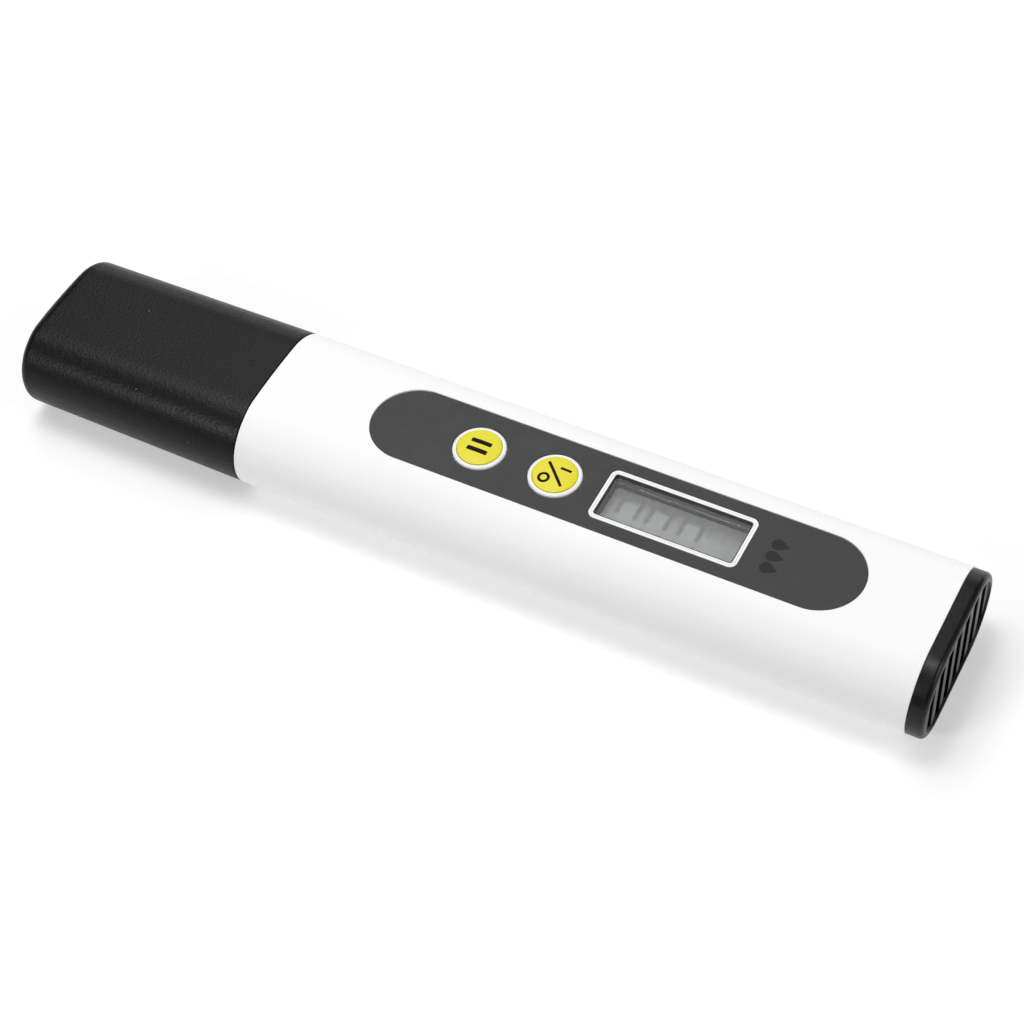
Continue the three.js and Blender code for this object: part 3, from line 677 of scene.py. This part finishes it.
# ------------------------------------------------------------------ protective cap
def build_cap():
    crown, extra = 0.30, 0.22
    x_flat = XTIP + crown * (1 - (FLAT / HALF_W) ** 2) + extra * 0.6
    wall, draft, er = 1.5, 0.4, 1.6
    bow = 0.27

    def outer(x, base, crown_part, t, mouth):
        """An outside ring: less draft over the top than along the lower sides."""
        pts = []
        for y, z in sec(base):
            # direction of the surface here: +1 on the top flat, 0 at the widest point, -1 below
            up = max(-1.0, min(1.0, (z - ZM) / (R - base)))
            top = max(0.0, up) ** 0.7
            d = t * 0.16 * top - (0.06 * (1 - top) if base < 1.2 else 0.0)      # outwards
            k = max(abs(y) - FLAT, 0.0)
            ny, nz = (k * (1 if y > 0 else -1), z - ZM)
            m = math.hypot(ny, nz) or 1.0
            xx = x - crown * crown_part * (1 - (y / HALF_W) ** 2) - extra * crown_part * (max(0.0, 1 - (y / 9.0) ** 2) - 0.4)
            xx -= bow * mouth * max(0.0, 1 - (y / 9.5) ** 2) * min(1.0, max(0.0, (z - ZM) / 4.0))
            pts.append((xx, y + ny / m * d, z + nz / m * d if z - ZM > 0 else z))
        return pts

    rings = []
    xi = x_flat + wall
    for a in [pi / 2 * i / 6 for i in range(0, 7)]:
        rings.append(ring(xi + 0.8 * (1 - math.sin(pi / 2 - a)), draft + wall + 0.8 * (1 - math.cos(pi / 2 - a))))
    for t in (0.25, 0.5, 0.75):
        rings.append(ring(xi + 0.8 + (XMOUTH - xi - 0.8) * t, wall + draft * (1 - t)))
    mr = 0.14
    rings.append(ring(XMOUTH - 1.2, wall))
    rings.append(ring(XMOUTH - 0.14, wall - 0.02, bow=bow))
    rings.append(ring(XMOUTH, wall - 0.16, bow=bow))
    for i in range(0, 5):
        a = pi / 2 * i / 4
        rings.append(outer(XMOUTH - mr * (1 - math.cos(a)), mr * (1 - math.sin(a)), 0, 0, 1))
    x1 = x_flat + er
    for t in (0.015, 0.1, 0.2, 0.4, 0.6, 0.8, 0.97):
        rings.append(outer(XMOUTH + (x1 - XMOUTH) * t, draft * t, 0.0, t, max(0.0, 1 - t * 4)))
    for i in range(0, 15):
        a = pi / 2 * i / 14
        rings.append(outer(x_flat + er * (1 - math.sin(a)), draft + er * (1 - math.cos(a)), min(1.0, i / 9), 1.0, 0))
    o = skin("cap_shell", rings)
    return finish_mesh(o, 0, sharp=40)


cap = piece(build_cap(), "cap", "protective_cap", ["black"])


# ------------------------------------------------------------------ sleeve
def build_sleeve():
    er = 0.10
    bow = 0.27
    # left edge, along the outside, right edge, and back along the inside
    left = [ring(XB0 + er * (1 - math.sin(pi / 2 * i / 4)), er * (1 - math.cos(pi / 2 * i / 4)), bow=bow) for i in range(4, -1, -1)]
    right = [ring(XB1 - er * (1 - math.sin(pi / 2 * i / 4)), er * (1 - math.cos(pi / 2 * i / 4))) for i in range(0, 5)]
    mid = [ring(XB0 + 3.0, 0)] + [ring(XB0 + (XB1 - XB0) * t, 0) for t in (0.25, 0.5, 0.75)]
    inner = [ring(XB1, 1.45), ring(XB1 - 0.3, 1.6), ring(XB0 + 2.0, 1.6), ring(XB0 + 0.3, 1.6, bow=bow), ring(XB0, 1.45, bow=bow)]
    outer = left + mid + right
    o = skin("sleeve", outer + inner, close="loop")
    cut(o, prism("c1", oval(LX0, LX1, LABEL_R + 0.06), ZL - 0.22, THICK + 2))
    cut(o, prism("c2", rrect(BHX + 0.06, BHY + 0.06, BR, 10, XW, BY), 10, THICK + 2))
    for k in ("hold", "power"):
        cut(o, prism("c3", circle(XK[k], 0, KEY_R + 0.2), 10, THICK + 2))
    return o


sleeve = piece(finish_mesh(build_sleeve(), 0.05, 2, 40, 34), "housing", "main_housing", ["white"])


# ------------------------------------------------------------------ overlay film with its printed mark
def build_overlay():
    loops = [lambda d: oval(LX0, LX1, LABEL_R - d)]
    for k in ("hold", "power"):
        loops.append(lambda d, x=XK[k]: circle(x, 0, KEY_R + 0.16 + d))
    loops.append(lambda d: rrect(BHX + 0.03 + d, BHY + 0.03 + d, BR + d, 10, XW, BY))
    return plate("overlay_sheet", loops, ZL - 0.2, ZL, 0.08, 4, bottom=False)


overlay = piece(finish_mesh(build_overlay(), 0), "housing", "label_overlay", ["film"])


def drop(cx, cy, s):
    """Outline of a water drop, tip towards +X."""
    p = []
    n = 48
    for i in range(n):
        a = 2 * pi * i / n
        r = s * 0.5
        x = -math.cos(a) * r
        y = math.sin(a) * r
        k = max(0.0, -math.cos(a) * -1.0)
        if x > 0:
            t = x / r
            y *= (1 - t) ** 0.55 if t < 1 else 0.0
            x = x * 1.75
        p.append((cx + x, cy + y))
    return p


drops = []
for cy in (1.95, -0.3, -2.55):
    drops.append(plate("d", [lambda d, c=cy: drop(47.35, c, 2.0 - d * 2)], ZL - 0.005, ZL + 0.012, 0.004, 1, bottom=False))
mark = piece(finish_mesh(join("overlay_mark", drops), 0), "housing", None, ["ink_grey"])


# ------------------------------------------------------------------ keys
def key_shapes():
    for k in ("hold", "power"):
        x = XK[k]
        body = k + "_key"
        z = ZL
        prof = [(0, 13.3), (4.78, 13.3), (4.9, 13.4), (4.9, 13.7), (4.8, 13.8), (KEY_R, 13.8), (KEY_R, z - 0.02)]
        # the ring is a low bead with a sloping outer side
        prof += [(KEY_R - 0.02, z + 0.03), (KEY_R - 0.08, z + 0.09), (KEY_R - 0.17, z + 0.15), (KEY_R - 0.27, z + 0.195), (KEY_R - 0.37, z + 0.22), (KEY_R - 0.46, z + 0.222)]
        prof += [(DISC_R + 0.13, z + 0.20), (DISC_R + 0.07, z + 0.17), (DISC_R + 0.04, z + 0.11), (DISC_R + 0.03, z - 0.3), (0, z - 0.3)]
        o = turned(k + "_ring_cap", prof, 96, "z", (x, 0, 0))
        piece(finish_mesh(o, 0, sharp=40), body, k + "_keycap", ["key_white"])
        top = 0.56
        edge = 0.33
        rr = DISC_R
        prof = [(0, z - 0.28), (rr - 0.04, z - 0.28), (rr, z - 0.24), (rr, z + edge - 0.12)]
        prof += arc(rr - 0.14, z + edge - 0.12, 0.14, 8, 70, 5)
        # shallow dome
        r1, z1 = prof[-1]
        for i in range(1, 13):
            t = i / 12
            r = r1 * (1 - t)
            prof.append((r, z1 + (z + top - z1) * (1 - (r / r1) ** 2)))
        o = turned(k + "_disc_dome", prof, 96, "z", (x, 0, 0))
        piece(finish_mesh(o, 0, sharp=50), body, k + "_key_disc", ["key_yellow"])
        # printed icon, laid on the dome
        def lay(ob, dome=(r1, z1, z + top)):
            for v in ob.data.vertices:
                r = math.hypot(v.co.x - x, v.co.y)
                h = dome[1] + (dome[2] - dome[1]) * (1 - min(r / dome[0], 1.0) ** 2)
                v.co.z = h + (0.014 if v.co.z > 0.5 else -0.01)
            return ob
        def bar(cx, cy, length, width, ang, seg=14):
            c, s = math.cos(ang), math.sin(ang)
            top_v, faces = [], []
            pts = []
            for i in range(seg + 1):
                t = -length / 2 + length * i / seg
                w = width / 2
                e = min(t + length / 2, length / 2 - t)
                if e < w * 0.25:
                    w = w * 0.86
                for q in (-w, w):
                    pts.append((cx + t * c - q * s, cy + t * s + q * c))
            n = len(pts)
            verts = [(px, py, 1.0) for px, py in pts] + [(px, py, 0.0) for px, py in pts]
            for i in range(seg):
                a, b2, c2, d2 = 2 * i, 2 * i + 1, 2 * i + 3, 2 * i + 2
                faces.append((a, b2, c2, d2))
                faces.append((n + a, n + d2, n + c2, n + b2))
                faces.append((a, d2, n + d2, n + a))
                faces.append((b2, n + b2, n + c2, c2))
            faces.append((0, n, n + 1, 1))
            faces.append((2 * seg, 2 * seg + 1, n + 2 * seg + 1, n + 2 * seg))
            return make("i", verts, faces)
        def hoop(cx, cy, r_in, r_out, n=56, ex=1.0):
            verts, faces = [], []
            for zz in (1.0, 0.0):
                for rad in (r_in, r_out):
                    verts += [(cx + ex * rad * math.cos(2 * pi * i / n), cy + rad * math.sin(2 * pi * i / n), zz) for i in range(n)]
            for i in range(n):
                j = (i + 1) % n
                faces += [(i, j, n + j, n + i), (2 * n + i, 3 * n + i, 3 * n + j, 2 * n + j), (i, 2 * n + i, 2 * n + j, j), (n + i, n + j, 3 * n + j, 3 * n + i)]
            return make("i", verts, faces)
        if k == "hold":
            parts = [bar(x, 0.82, 3.3, 0.78, 0), bar(x, -0.82, 3.3, 0.78, 0)]
        else:
            parts = [bar(x, 0, 5.1, 0.46, -pi / 4), bar(x + 1.22, 1.30, 1.75, 0.44, 0), hoop(x - 1.22, -1.30, 0.52, 0.95)]
        ic = join(k + "_icon", [lay(p) for p in parts])
        piece(finish_mesh(ic, 0, sharp=60, weighted=False), body, None, ["ink"])


key_shapes()


# ------------------------------------------------------------------ display: bezel, window, panel
def build_bezel():
    z = ZL + 0.04
    prof = [(0.04, 13.9), (0.04, z - 0.05)]
    prof += [(0.09 - 0.05 * math.cos(a), z - 0.05 + 0.05 * math.sin(a)) for a in [pi / 2 * i / 4 for i in range(1, 5)]]
    prof += [(0.32, z), (0.342, z - 0.012), (0.352, z - 0.035), (0.357, z - 0.10), (0.463, z - 0.10), (0.468, z - 0.035), (0.478, z - 0.012), (0.50, z)]
    prof += [(0.70, z), (0.725, z - 0.012), (0.74, z - 0.04), (0.74, z - 0.10), (0.37, z - 0.12), (0.36, z - 0.14), (0.36, 13.2), (-0.85, 13.2), (-0.9, 13.25), (-0.9, 13.85), (-0.85, 13.9)]
    n = 12
    rings = []
    for d, zz in prof:
        rings.append([(px, py, zz) for px, py in rrect(BHX - d, BHY - d, max(BR - d, 0.36) if d > 0 else BR - d, n, XW, BY)])
    return skin("window_frame", rings, close="loop")


bezel = piece(finish_mesh(build_bezel(), 0, sharp=48), "housing", "display_bezel", ["key_white"])

# dark border between the frame and the pane, nearly flush with the frame
zb = ZL + 0.01
prof = [(0.365, zb - 0.12), (0.745, zb - 0.10), (0.75, zb - 0.02), (0.765, zb), (0.865, zb), (0.885, zb - 0.015), (0.895, zb - 0.04), (0.90, zb - 0.40), (0.90, 15.13), (0.825, 15.125), (0.82, 13.2), (0.365, 13.2)]
border = skin("window_border", [[(px, py, zz) for px, py in rrect(BHX - d, BHY - d, max(BR - d, 0.36), 12, XW, BY)] for d, zz in prof], close="loop")
piece(finish_mesh(border, 0, sharp=48), "housing", None, ["dark"])

w0, w1 = W0, W1
lens = plate("window_pane", [lambda d: rrect((w1[0] - w0[0]) / 2 - d, (w1[1] - w0[1]) / 2 - d, 0.5, 8, XW)], w0[2], w1[2], 0.16, 4)
piece(finish_mesh(lens, 0, sharp=50), "housing", "window_lens", ["lens"])

hx, hy = (P1[0] - P0[0]) / 2, (P1[1] - P0[1]) / 2
zb = P0[2]
panel = join("display_glass", [
    plate("p1", [lambda d: rrect(hx - d, hy - d, 0.15, 3, XW)], zb, zb + 0.72, 0.04, 2),
    plate("p2", [lambda d: rrect(hx - d, hy - 0.35 - d, 0.15, 3, XW)], zb + 0.74, ZLCD - 0.16, 0.04, 2),
    plate("p3", [lambda d: rrect(hx - 0.4 - d, hy - 0.6 - d, 0.2, 3, XW)], ZLCD - 0.15, ZLCD, 0.03, 2),
])
piece(finish_mesh(panel, 0, sharp=50), "housing", "lcd_panel", ["lcd"])


# ------------------------------------------------------------------ battery end cap with its grip slots
def build_end():
    off0, er = 0.1, 0.8
    xs = E1[0] - 2.6
    rings = [ring(xs, off0 + 0.06), ring(xs + 0.03, off0 + 0.015), ring(xs + 0.10, off0)]
    for i in range(0, 11):
        a = pi / 2 * i / 10
        rings.append(ring(XEND - er * (1 - math.sin(a)), off0 + er * (1 - math.cos(a))))
    o = skin("end_grille", rings)
    plug = skin("plug", [ring(E0[0], 1.9), ring(E0[0] + 0.2, 1.7), ring(69.95, 1.7), ring(70.0, 1.72), ring(70.0, 2.5), ring(71.4, 2.5), ring(71.4, 1.72), ring(71.45, 1.7), ring(xs + 0.4, 1.7)])
    cut(o, plug, "UNION")
    # shallow pocket inside the rim, then the slots
    pocket = skin("pk", [ring(XEND - 0.28, 1.38), ring(XEND + 0.5, 1.24)])
    cut(o, pocket)
    n, pitch, width = 7, 3.27, 1.75
    for i in range(n):
        y0 = (i - (n - 1) / 2) * pitch
        # a slot that follows the outline at both ends
        outline = []
        ys = [y0 - width / 2 + width * k / 8 for k in range(9)]
        def half(y):
            rr = R - 1.55
            e = max(abs(y) - FLAT, 0)
            return math.sqrt(max(rr * rr - e * e, 0.2))
        outline = [(y, ZM - half(y)) for y in ys] + [(y, ZM + half(y)) for y in ys[::-1]]
        cut(o, prism_x("sl", outline, XEND - 1.75, XEND + 1))
    return o


end = piece(finish_mesh(build_end(), 0.10, 3, 38, 34), "battery_drawer", "end_cap", ["black_end"])


# ------------------------------------------------------------------ probe head and electrodes
def build_head():
    o = skin("head_body", [ring(-29.0, 1.86), ring(-29.2, 1.66), ring(XB0 + 0.05, 1.66), ring(XB0 + 0.05, 1.80),
                           ring(-42.6, 1.80), ring(-42.6, 2.85), ring(-44.2, 2.85), ring(-44.2, 1.80), ring(-47.6, 1.80), ring(-48.0, 2.2)])
    nose = []
    for x, d in ((-47.0, 0.0), (-61.2, 0.0), (-61.7, 0.2), (-61.95, 0.5), (-62.0, 0.8)):
        nose.append([(x, y, z + ZM) for y, z in rrect(9.2 - d, 4.3 - d, 2.6 - d * 0.6, 12)])
    m = len(nose[0])
    verts = [p for r_ in nose for p in r_]
    faces = []
    for k in range(len(nose) - 1):
        for i in range(m):
            j = (i + 1) % m
            faces.append((k * m + i, k * m + j, (k + 1) * m + j, (k + 1) * m + i))
    faces += [tuple(range(m)), tuple(range((len(nose) - 1) * m, len(nose) * m))]
    cut(o, make("nose", verts, faces), "UNION")
    cut(o, block("c", -70, -51, -6.4, 6.4, -2, 20))
    cut(o, skin("pk", [ring(-39.0, 3.4), ring(-28.0, 3.4)]))
    for y in (3.2, -3.2):
        cut(o, turned("h", [(0, -53), (1.02, -53), (1.02, -38), (0, -38)], 40, "x", (0, y, ZM)))
    cut(o, turned("h", [(0, -53), (0.95, -53), (0.95, -47.6), (0, -47.6)], 32, "x", (0, 0, ZM)))
    return o


piece(finish_mesh(build_head(), 0.12, 3, 36, 34), "housing", "probe_head", ["head"])

for nm, y in (("probe_pin_near", -3.2), ("probe_pin_far", 3.2)):
    prof = [(0, -61.0)] + [(0.9 * math.sin(a), -61.0 + 0.9 * (1 - math.cos(a))) for a in [pi / 2 * i / 8 for i in range(1, 9)]]
    prof += [(0.9, -37.1), (0.6, -36.8), (0, -36.8)]
    o = turned("electrode_" + nm[10:], prof, 48, "x", (0, y, ZM))
    piece(finish_mesh(o, 0, sharp=40), "housing", nm, ["pin"])
prof = [(0, -52.2)] + [(0.8 * math.sin(a), -52.2 + 0.8 * (1 - math.cos(a))) for a in [pi / 2 * i / 8 for i in range(1, 9)]] + [(0.8, -47.8), (0, -47.8)]
piece(finish_mesh(turned("sensor_bead", prof, 40, "x", (0, 0, ZM)), 0, sharp=40), "housing", "thermistor_bead", ["chip"])

# seal rings with a round outside
def seal(name, x0, x1, o_out, o_in):
    xm, hw = (x0 + x1) / 2, (x1 - x0) / 2
    rings = []
    hr = (o_in - o_out) / 2
    om = (o_in + o_out) / 2
    for i in range(20):
        a = 2 * pi * i / 20
        rings.append(ring(xm + hw * math.cos(a), om - hr * math.sin(a)))
    return skin(name, rings, close="loop")

piece(finish_mesh(seal("head_ring", -44.05, -42.75, 1.72, 2.75), 0, sharp=60), "housing", "head_seal_ring", ["rubber"])
piece(finish_mesh(seal("end_ring", 70.1, 71.3, 1.66, 2.44), 0, sharp=60), "battery_drawer", "end_cap_seal", ["rubber"])

# ------------------------------------------------------------------ button cells
for nm in ("button_cell_inner", "button_cell_outer"):
    a, b = mmbox(nm)
    x0, T = a[0], b[0] - a[0]
    rc = 5.8
    can = [(0, T), (5.2, T)] + [(5.5 + 0.3 * math.cos(t), T - 0.3 + 0.3 * math.sin(t)) for t in [pi / 2 - pi / 2 * i / 5 for i in range(6)]]
    can += [(rc, 1.0), (5.7, 0.78), (5.5, 0.66), (5.2, 0.62), (5.05, 0.7), (5.05, 1.2), (0, 1.2)]
    lid = [(0, 1.15), (4.75, 1.15), (4.75, 0.35)] + [(4.45 + 0.3 * math.cos(t), 0.3 - 0.3 * math.sin(t)) for t in [pi / 2 * i / 5 for i in range(1, 6)]] + [(3.6, 0.0), (3.3, 0.04), (0, 0.04)]
    gask = [(4.78, 1.1), (5.02, 1.1), (5.02, 0.58), (4.9, 0.5), (4.78, 0.55)]
    can = turned("can", [(r_, x0 + h) for r_, h in can[::-1]], 96, "x", (0, 0, ZM))
    lid = turned("lid", [(r_, x0 + h) for r_, h in lid[::-1]], 96, "x", (0, 0, ZM))
    o = join(nm + "_can", [can, lid])
    piece(finish_mesh(o, 0, sharp=35), "battery_drawer", nm, ["cell"])
    # the gasket is a ring of its own
    n = 96
    verts, faces = [], []
    for r_, h in gask:
        verts += [(x0 + h, r_ * math.cos(2 * pi * i / n), ZM + r_ * math.sin(2 * pi * i / n)) for i in range(n)]
    g = len(gask)
    for k in range(g):
        k2 = (k + 1) % g
        for i in range(n):
            j = (i + 1) % n
            faces.append((k * n + i, k * n + j, k2 * n + j, k2 * n + i))
    o = make(nm + "_gasket", verts, faces)
    piece(finish_mesh(o, 0, sharp=50), "battery_drawer", None, ["gasket"])

# ------------------------------------------------------------------ CAD nodes that keep their shape
KEEP = {
    "lcd_holder": ("dark", 0.04), "lcd_reflector": ("foil", 0.0), "zebra_strip_near": ("rubber", 0.08), "zebra_strip_far": ("rubber", 0.08),
    "circuit_board": ("board", 0.05), "board_carrier": ("tray", 0.12), "board_screw_front": ("steel", 0.04), "board_screw_rear": ("steel", 0.04),
    "controller_chip": ("chip", 0.0), "amplifier_chip": ("chip", 0.04), "crystal_can": ("steel", 0.1), "filter_capacitor": ("dark", 0.12),
    "tact_body_hold": ("chip", 0.1), "tact_body_power": ("chip", 0.1), "tact_stem_hold": ("dark", 0.1), "tact_stem_power": ("dark", 0.1),
    "battery_tray": ("tray", 0.15), "tray_contact_outer": ("brass", 0.04), "tray_contact_inner": ("brass", 0.04),
    "board_finger_near": ("brass", 0.03), "board_finger_far": ("brass", 0.03), "probe_lead_near": ("lead_black", 0.0), "probe_lead_far": ("lead_red", 0.0),
}
for nm, (mt, bev) in KEEP.items():
    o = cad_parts[nm]
    dress(o, mt)
    o.data.polygons.foreach_set("use_smooth", [True] * len(o.data.polygons))
    o.data.set_sharp_from_angle(angle=math.radians(34))
    if bev:
        w = o.modifiers.new("weld", "WELD")
        w.merge_threshold = 1e-6
        m = o.modifiers.new("edge", "BEVEL")
        m.width = bev * 0.001
        m.segments = 2
        m.limit_method = "ANGLE"
        m.angle_limit = math.radians(36)
        m.harden_normals = False

# ------------------------------------------------------------------ floor, light and camera
def stage_material():
    m, nt, b = nodes_of("stage_white")
    v = coords(nt)
    nt.links.new(ramp(nt, noise(nt, v, 3, 2), [(0.3, (0.595, 0.595, 0.595)), (0.7, (0.605, 0.605, 0.605))]), b.inputs["Base Color"])
    b.inputs["Roughness"].default_value = 0.9
    b.inputs["Specular IOR Level"].default_value = 0.1
    b.inputs["Emission Color"].default_value = (1, 1, 1, 1)
    b.inputs["Emission Strength"].default_value = 0.40
    return m


def stage():
    n = 48
    verts, faces = [], []
    rs = [0.4, 1.0, 2.5, 6.0]
    verts.append((0, 0, 0))
    for rr in rs:
        verts += [(rr * math.cos(2 * pi * i / n), rr * math.sin(2 * pi * i / n), 0) for i in range(n)]
    for i in range(n):
        j = (i + 1) % n
        faces.append((0, 1 + i, 1 + j))
        for k in range(len(rs) - 1):
            a = 1 + k * n
            faces.append((a + i, a + n + i, a + n + j, a + j))
    me = bpy.data.meshes.new("floor")
    me.from_pydata(verts, [], faces)
    o = link("floor", me)
    me.materials.append(stage_material())


stage()


def softbox(name, loc, sx, sy, radiance):
    li = bpy.data.lights.new(name, "AREA")
    li.shape = "RECTANGLE"
    li.size = sx
    li.size_y = sy
    li.energy = pi * sx * sy * radiance
    o = bpy.data.objects.new(name, li)
    bpy.context.scene.collection.objects.link(o)
    o.location = loc
    o.rotation_euler = (-Vector(loc)).to_track_quat("-Z", "Y").to_euler()
    return o


softbox("overhead", (0, 0, 1.0), 0.8, 0.8, 0.28)
softbox("overhead_small", (-0.12, 0.08, 0.985), 0.2, 0.2, 10.5)
softbox("overhead_left", (-0.33, 0.08, 0.94), 0.5, 0.5, 4.9)
softbox("back_high", (-0.34, 0.57, 0.81), 0.5, 0.45, 2.4)
softbox("back_low", (-0.3, 0.95, 0.3), 1.0, 0.4, 1.6)
softbox("right_fill", (0.9, 0.1, 0.6), 0.6, 0.6, 4.0)
softbox("front_left", (-0.38, -0.78, 0.56), 0.26, 0.22, 17.5)
softbox("front_high", (-0.32, -0.42, 0.86), 0.5, 0.3, 1.2)
softbox("front_low", (-0.7, -0.75, 0.25), 0.6, 0.3, 0.3)

world = bpy.data.worlds.new("World")
bpy.context.scene.world = world
world.use_nodes = True
nt = world.node_tree
bg = nt.nodes.get("Background") or nt.nodes.new("ShaderNodeBackground")
bg.inputs["Color"].default_value = (1, 1, 1, 1)
bg.inputs["Strength"].default_value = 0.02

cam_data = bpy.data.cameras.new("camera")
cam = bpy.data.objects.new("camera", cam_data)
bpy.context.scene.collection.objects.link(cam)
az, el, roll = math.radians(30.77), math.radians(50.70), math.radians(-4.42)
back = Vector((math.sin(az) * math.cos(el), -math.cos(az) * math.cos(el), math.sin(el)))
right = Vector((0, 0, 1)).cross(back).normalized()
up = back.cross(right)
c, s = math.cos(roll), math.sin(roll)
r2 = c * right + s * up
u2 = -s * right + c * up
# solved eye point, measured from the overlay's plane and moved into the frame
eye = Vector((106.773 + 14.71, -195.761, 265.886 + ZL)) * 0.001
mw = Matrix(((r2.x, u2.x, back.x, eye.x), (r2.y, u2.y, back.y, eye.y), (r2.z, u2.z, back.z, eye.z), (0, 0, 0, 1)))
cam.matrix_world = mw
cam_data.sensor_fit = "HORIZONTAL"
cam_data.sensor_width = 36.0
cam_data.lens = 2372.32 / 1024 * 36.0
cam_data.clip_start = 0.01
cam_data.clip_end = 20
bpy.context.scene.camera = cam

vs = bpy.context.scene.view_settings
vs.view_transform = "Standard"
vs.look = "None"
vs.exposure = 0.0
vs.gamma = 1.0
